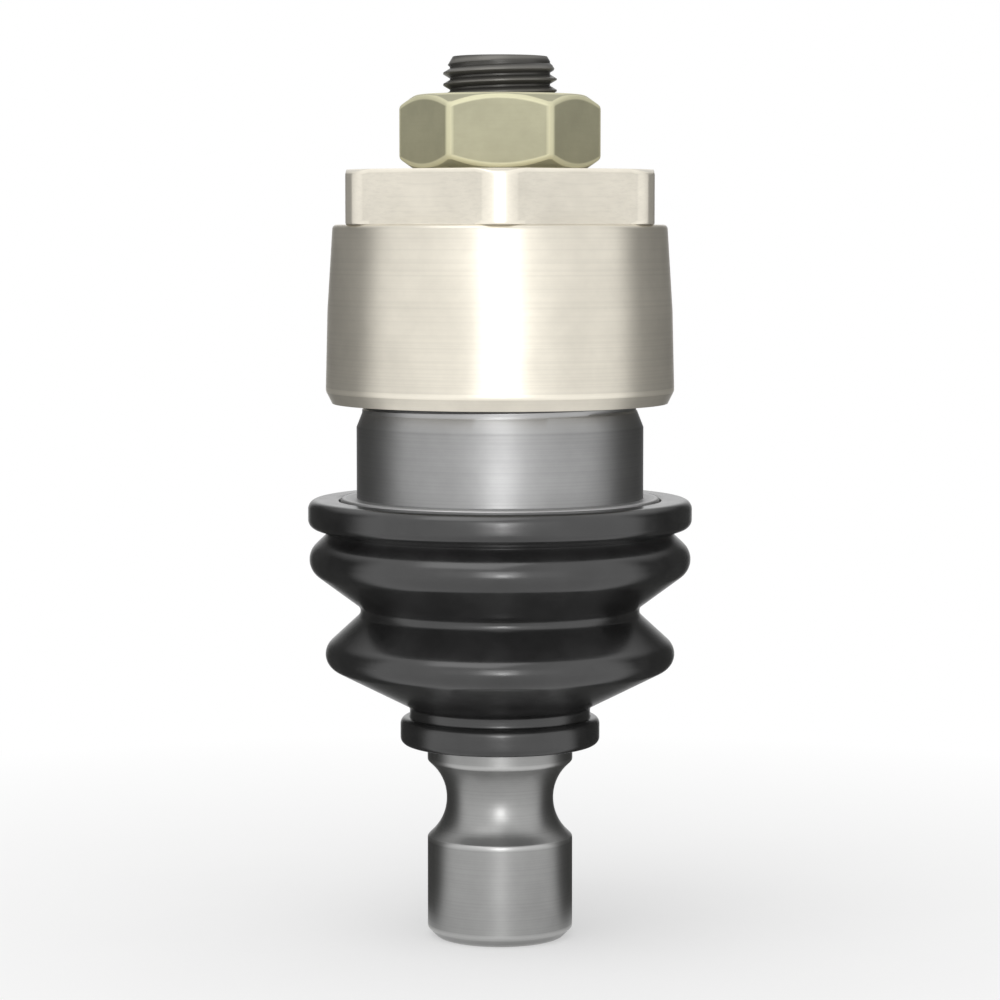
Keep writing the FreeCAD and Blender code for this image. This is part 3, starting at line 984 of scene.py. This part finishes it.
class BALLJOINT_OT_add_boot(BallJointOperator, bpy.types.Operator):
    """Add the rubber boot in two halves, split between its waist and its lower crest"""

    bl_idname = "balljoint.add_boot"
    bl_label = "Add Boot"

    def execute(self, context):
        _, surface, finish, _ = settings()
        whole, outside = boot_outline()
        upper_crest, waist, lower_crest, neck = fold_heights(outside)
        split = (waist + lower_crest) / 2
        material = moulded_rubber("Black rubber", finish.rubber)
        lower_nodes = ["boot_bellows", "boot_lower_lip"]
        halves = (
            ("boot_upper_fold", True, "housing", "boot_bellows", upper_crest, split, ["boot_upper_lip"]),
            ("boot_lower_fold", False, "boot_bellows", "boot_lip", lower_crest, neck, lower_nodes),
        )
        for name, above, still, moving, start, end, nodes in halves:
            half = opened(cut_level(whole, split, above), split)
            rounded = eased(half, surface.rubber_edge, 2 * surface.rubber_edge)
            outline = divided(rounded, surface.rubber_step)
            piece = turned(name, outline, surface.columns, closed=True, sharp=RUBBER_SHARP)
            piece.data.materials.append(material)
            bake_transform(piece)
            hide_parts(*nodes)
        return {"FINISHED"}


# Stage, in heights of the joint

FLOOR_REACH = 15
FLOOR_CORNERS = ((-1, -1), (1, -1), (1, 1), (-1, 1))
FLOOR_SHADES = (0.93, 0.96)

# The floor is this white of itself under the joint, and wholly so at the end of the fade.
FLOOR_WHITE = 0.25
FLOOR_FADE = (0.3, 1.6)

# Angles either side of the camera between which the grey cards stand, and the angle over which they fade
CARD_START = math.radians(84)
CARD_END = math.radians(170)
CARD_SOFT = math.radians(14)
CARD_STEPS = 28

# A card's (distance, height, cover) points from the middle of the joint's foot. The card comes in along
# the floor as well, because the shank stands so low that its sides mirror the floor.
CARD_ROWS = ((0.1, 0.002, 0.0), (0.2, 0.002, 1.0), (4.0, 0.002, 1.0), (4.0, 2.0, 1.0), (4.0, 4.5, 0.0))

# A card's blue, as a share of its red and green
CARD_BLUE = 0.97

# Lights, each with its brightness property, its width and height, and its place from the joint's middle
LIGHTS = (
    ("overhead_box", "overhead", 4.0, 4.0, (-1.2, -2.2, 4.5)),
    ("front_box", "front", 2.4, 5.0, (0.0, -6.0, 0.2)),
    ("front_halo", "halo", 9.0, 5.0, (0.0, -6.0, 0.2)),
    ("front_strip", "strip", 0.45, 2.4, (0.15, -5.5, -0.2)),
)

# Watts to the square metre at which a light is as bright as white paper
WHITE_POWER = 4

# The camera sees from its distance divided by this to its distance times this.
CLIP_RANGE = 50


def stage_mesh(name, points, faces, material):
    """A stage mesh object that counts as no part of the joint."""
    mesh = bpy.data.meshes.new(name)
    mesh.from_pydata(points, [], faces)
    mesh.materials.append(material)
    made = bpy.data.objects.new(name, mesh)
    bpy.context.scene.collection.objects.link(made)
    return made


def floor_material(tall):
    """White floor that takes the joint's shadow and fades into the white background further off."""
    material, tree, surface, place = new_surface("White floor")
    grain = noise(tree, place, scale=60.0, detail=3.0, roughness=0.5)
    fill(tree, surface, {
        "Base Color": shaded(tree, grain, WHITE[:3], FLOOR_SHADES),
        "Roughness": 0.8,
        "Specular IOR Level": 0.0,
    })
    glow = add(tree, "ShaderNodeEmission", {"Color": WHITE, "Strength": 1.0}).outputs[0]
    distance = add(tree, "ShaderNodeVectorMath", {0: place}, operation="LENGTH").outputs["Value"]
    far = ranged(tree, distance, (FLOOR_WHITE, 1.0), [share * tall for share in FLOOR_FADE])
    share = maths(tree, "MULTIPLY", far, in_sight(tree))
    shown = mixed(tree, share, surface.outputs[0], glow)
    tree.links.new(shown, tree.nodes["Material Output"].inputs["Surface"])
    return material


def card_material(tone):
    """Grey card with soft edges, which the metal's sides mirror."""
    material = bpy.data.materials.new("Grey card")
    material.use_nodes = True
    tree = material.node_tree
    tree.nodes.clear()
    colour = (tone, tone, CARD_BLUE * tone, 1.0)
    clear = add(tree, "ShaderNodeBsdfTransparent").outputs[0]
    grey = add(tree, "ShaderNodeEmission", {"Color": colour, "Strength": 1.0}).outputs[0]
    add(tree, "ShaderNodeOutputMaterial", {"Surface": mixed(tree, attribute(tree, "cover"), clear, grey)})
    return material


def grey_card(name, side, foot, tall, material):
    """A curved card beside and behind the joint on one side, seen only in what mirrors it."""
    points = []
    cover = []
    for step in range(CARD_STEPS + 1):
        angle = CARD_START + (CARD_END - CARD_START) * step / CARD_STEPS
        outward = Vector((side * math.sin(angle), -math.cos(angle), 0))
        fade = min(1.0, (angle - CARD_START) / CARD_SOFT, (CARD_END - angle) / CARD_SOFT)
        for distance, height, share in CARD_ROWS:
            points.append(foot + (outward * distance + Vector((0, 0, height))) * tall)
            cover.append(fade * share)
    count = len(CARD_ROWS)
    faces = []
    for step in range(CARD_STEPS):
        for row in range(count - 1):
            here = step * count + row
            faces.append((here, here + count, here + count + 1, here + 1))
    card = stage_mesh(name, points, faces, material)
    card.data.attributes.new("cover", "FLOAT", "POINT").data.foreach_set("value", cover)
    card.visible_camera = False
    card.visible_diffuse = False
    card.visible_transmission = False
    card.visible_shadow = False


def aimed(name, data, spot, target):
    """A light's or a camera's object that stands at a spot and looks at a target."""
    made = bpy.data.objects.new(name, data)
    made.location = spot
    made.rotation_mode = "QUATERNION"
    made.rotation_quaternion = (target - spot).to_track_quat("-Z", "Y")
    bpy.context.scene.collection.objects.link(made)
    return made


def soft_light(name, width, height, spot, target, brightness):
    """A soft rectangular light, so many times as bright as white paper."""
    light = bpy.data.lights.new(name, "AREA")
    light.shape = "RECTANGLE"
    light.size = width
    light.size_y = height
    light.energy = WHITE_POWER * brightness * width * height
    aimed(name, light, spot, target).visible_camera = False


def white_world(ambient):
    """World that is white to the eye and in reflections, and lights the joint more gently."""
    world = bpy.data.worlds.new("White room")
    world.use_nodes = True
    tree = world.node_tree
    tree.nodes.clear()
    gentle = add(tree, "ShaderNodeBackground", {"Color": WHITE, "Strength": ambient}).outputs[0]
    white = add(tree, "ShaderNodeBackground", {"Color": WHITE, "Strength": 1.0}).outputs[0]
    add(tree, "ShaderNodeOutputWorld", {"Surface": mixed(tree, in_sight(tree), gentle, white)})
    return world


def front_camera(stage, centre, tall):
    """A camera in front of the joint, far enough for the joint to take its share of the picture."""
    data = bpy.data.cameras.new("camera")
    data.sensor_width = SENSOR_WIDTH
    data.lens = stage.lens
    distance = tall / stage.fill * stage.lens / SENSOR_WIDTH
    data.clip_start = distance / CLIP_RANGE
    data.clip_end = distance * CLIP_RANGE
    back = Vector((0, -math.cos(stage.elevation), math.sin(stage.elevation)))
    return aimed("camera", data, centre + back * distance, centre)


class BALLJOINT_OT_add_stage(BallJointOperator, bpy.types.Operator):
    """Add the floor, the lights, the grey cards and the camera"""

    bl_idname = "balljoint.add_stage"
    bl_label = "Add Stage"

    def execute(self, context):
        _, _, _, stage = settings()
        low, high = (Vector(corner) for corner in cad_box)
        centre = (low + high) / 2
        foot = Vector((centre.x, centre.y, low.z))
        tall = high.z - low.z
        context.scene.world = white_world(stage.ambient)
        context.scene.view_settings.view_transform = "Standard"
        corners = [Vector((x, y, 0)) * FLOOR_REACH * tall + foot for x, y in FLOOR_CORNERS]
        stage_mesh("floor", corners, [(0, 1, 2, 3)], floor_material(tall))
        card = card_material(stage.card)
        grey_card("card_left", -1, foot, tall, card)
        grey_card("card_right", 1, foot, tall, card)
        for name, brightness, width, height, place in LIGHTS:
            spot = centre + Vector(place) * tall
            soft_light(name, width * tall, height * tall, spot, centre, getattr(stage, brightness))
        context.scene.camera = front_camera(stage, centre, tall)
        return {"FINISHED"}


class BALLJOINT_PT_panel(bpy.types.Panel):
    """Panel that lists the joint's sizes, colours and pieces"""

    bl_idname = "BALLJOINT_PT_panel"
    bl_label = "Ball Joint"
    bl_space_type = "VIEW_3D"
    bl_region_type = "UI"
    bl_category = "Ball Joint"

    def draw(self, context):
        layout = self.layout
        for title, group in zip(("Thread", "Surface", "Finish", "Stage"), settings()):
            box = layout.box()
            box.label(text=title)
            for name in group.__annotations__:
                box.prop(group, name)
        for operator in OPERATORS:
            layout.operator(operator.bl_idname)


OPERATORS = (
    BALLJOINT_OT_add_stage,
    BALLJOINT_OT_add_stud,
    BALLJOINT_OT_add_housing,
    BALLJOINT_OT_add_race,
    BALLJOINT_OT_add_cap,
    BALLJOINT_OT_add_adjuster,
    BALLJOINT_OT_add_jam_nut,
    BALLJOINT_OT_add_boot,
)

GROUPS = {
    "ball_joint_thread": BallJointThread,
    "ball_joint_surface": BallJointSurface,
    "ball_joint_finish": BallJointFinish,
    "ball_joint_stage": BallJointStage,
}


def register():
    """Registers the property groups, the operators and the panel."""
    for name, group in GROUPS.items():
        bpy.utils.register_class(group)
        setattr(bpy.types.Scene, name, bpy.props.PointerProperty(type=group))
    for operator in OPERATORS:
        bpy.utils.register_class(operator)
    bpy.utils.register_class(BALLJOINT_PT_panel)


def unregister():
    """Takes back everything that register adds, in the opposite order."""
    bpy.utils.unregister_class(BALLJOINT_PT_panel)
    for operator in reversed(OPERATORS):
        bpy.utils.unregister_class(operator)
    for name, group in reversed(GROUPS.items()):
        delattr(bpy.types.Scene, name)
        bpy.utils.unregister_class(group)


def main():
    register()
    bpy.ops.balljoint.add_stage()
    bpy.ops.balljoint.add_stud()
    bpy.ops.balljoint.add_housing()
    bpy.ops.balljoint.add_race()
    bpy.ops.balljoint.add_cap()
    bpy.ops.balljoint.add_adjuster()
    bpy.ops.balljoint.add_jam_nut()
    bpy.ops.balljoint.add_boot()


if __name__ == "__main__":
    main()
